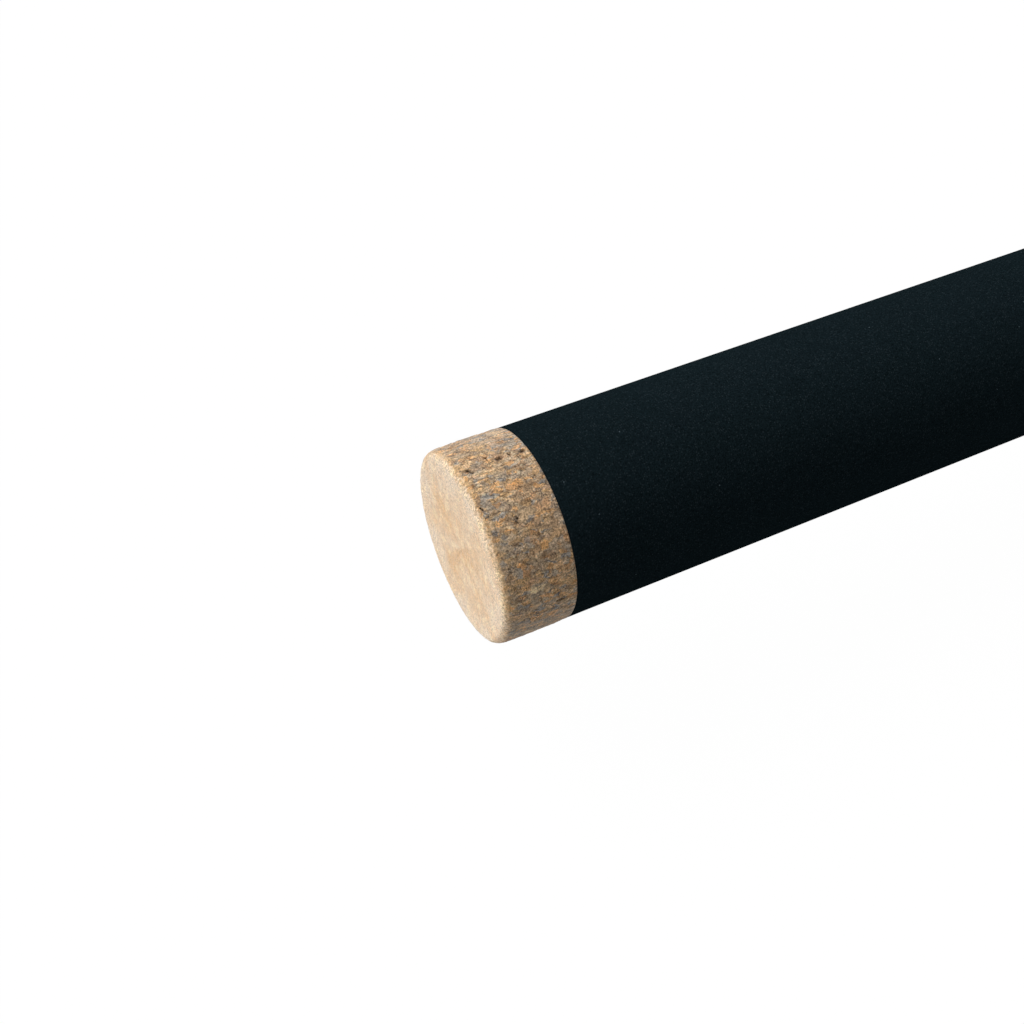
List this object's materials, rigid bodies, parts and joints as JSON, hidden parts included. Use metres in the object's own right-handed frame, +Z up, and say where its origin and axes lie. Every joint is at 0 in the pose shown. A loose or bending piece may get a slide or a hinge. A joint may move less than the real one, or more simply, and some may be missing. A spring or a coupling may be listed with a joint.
{
  "type": "float rod",
  "caption": "Three-piece float rod with a cork-capped foam handle, keyed screw reel seat, push-fit spigots and ceramic ring guides.",
  "frame": {"origin": "centre of the flat butt face, on the rod's own axis", "axes": "+X along the rod from the butt to the tip, -Z towards the reel and the guides, +Z up"},
  "size_m": [3.6647, 0.0264, 0.0445],
  "materials": {
    "cork": "matte",
    "eva_foam": "matte",
    "carbon_tube": "gloss",
    "carbon_spigot": "satin",
    "graphite_plastic": "satin",
    "arbor_foam": "matte",
    "anodised_hood": "satin",
    "anodised_nut": "satin",
    "steel_frame": "polished",
    "ceramic_ring": "gloss",
    "thread": "gloss"
  },
  "bodies": {
    "butt_section": {"butt_cap": "cork", "rear_grip": "eva_foam", "butt_blank": "carbon_tube", "seat_barrel": "graphite_plastic", "seat_arbor_rear": "arbor_foam", "seat_arbor_front": "arbor_foam", "fixed_hood": "anodised_hood", "fore_grip": "eva_foam", "winding_check": "anodised_nut", "keeper_bracket": "steel_frame", "keeper_winding": "thread", "lower_spigot": "carbon_spigot", "butt_ferrule_winding": "thread", "guide_1_frame": "steel_frame", "guide_1_ring": "ceramic_ring", "guide_1_winding": "thread"},
    "sliding_hood": {"sliding_hood": "anodised_hood"},
    "lock_nut": {"lock_nut": "anodised_nut"},
    "keeper_ring": {"keeper_ring": "steel_frame"},
    "mid_section": {"mid_blank": "carbon_tube", "mid_socket_winding": "thread", "mid_ferrule_winding": "thread", "upper_spigot": "carbon_spigot", "guide_2_frame": "steel_frame", "guide_2_ring": "ceramic_ring", "guide_2_winding": "thread", "guide_3_frame": "steel_frame", "guide_3_ring": "ceramic_ring", "guide_3_winding": "thread", "guide_4_frame": "steel_frame", "guide_4_ring": "ceramic_ring", "guide_4_winding": "thread", "guide_5_frame": "steel_frame", "guide_5_ring": "ceramic_ring", "guide_5_winding": "thread"},
    "tip_section": {"tip_blank": "carbon_tube", "tip_socket_winding": "thread", "tip_top_frame": "steel_frame", "tip_top_ring": "ceramic_ring", "guide_6_frame": "steel_frame", "guide_6_ring": "ceramic_ring", "guide_6_winding": "thread", "guide_7_frame": "steel_frame", "guide_7_ring": "ceramic_ring", "guide_7_winding": "thread", "guide_8_frame": "steel_frame", "guide_8_ring": "ceramic_ring", "guide_8_winding": "thread", "guide_9_frame": "steel_frame", "guide_9_ring": "ceramic_ring", "guide_9_winding": "thread", "guide_10_frame": "steel_frame", "guide_10_ring": "ceramic_ring", "guide_10_winding": "thread", "guide_11_frame": "steel_frame", "guide_11_ring": "ceramic_ring", "guide_11_winding": "thread"}
  },
  "joints": [
    {"name": "mid_section_pull", "type": "slide", "parent": "butt_section", "child": "mid_section", "axis": [1, 0, 0], "range_m": [0, 0.1]},
    {"name": "tip_section_pull", "type": "slide", "parent": "mid_section", "child": "tip_section", "axis": [1, 0, 0], "range_m": [0, 0.1]},
    {"name": "hood_slide", "type": "slide", "parent": "butt_section", "child": "sliding_hood", "axis": [1, 0, 0], "range_m": [0, 0.024]},
    {"name": "nut_turn", "type": "hinge", "parent": "sliding_hood", "child": "lock_nut", "pos_m": [0.3816, 0, 0], "axis": [1, 0, 0], "range_deg": [0, 4320]},
    {"name": "keeper_swing", "type": "hinge", "parent": "butt_section", "child": "keeper_ring", "pos_m": [0.6175, 0, -0.0077], "axis": [0, 1, 0], "range_deg": [-80, 80]}
  ],
  "couplings": [
    {"joint": "hood_slide", "follows": "nut_turn", "m_per_rad": 0.00031831}
  ]
}
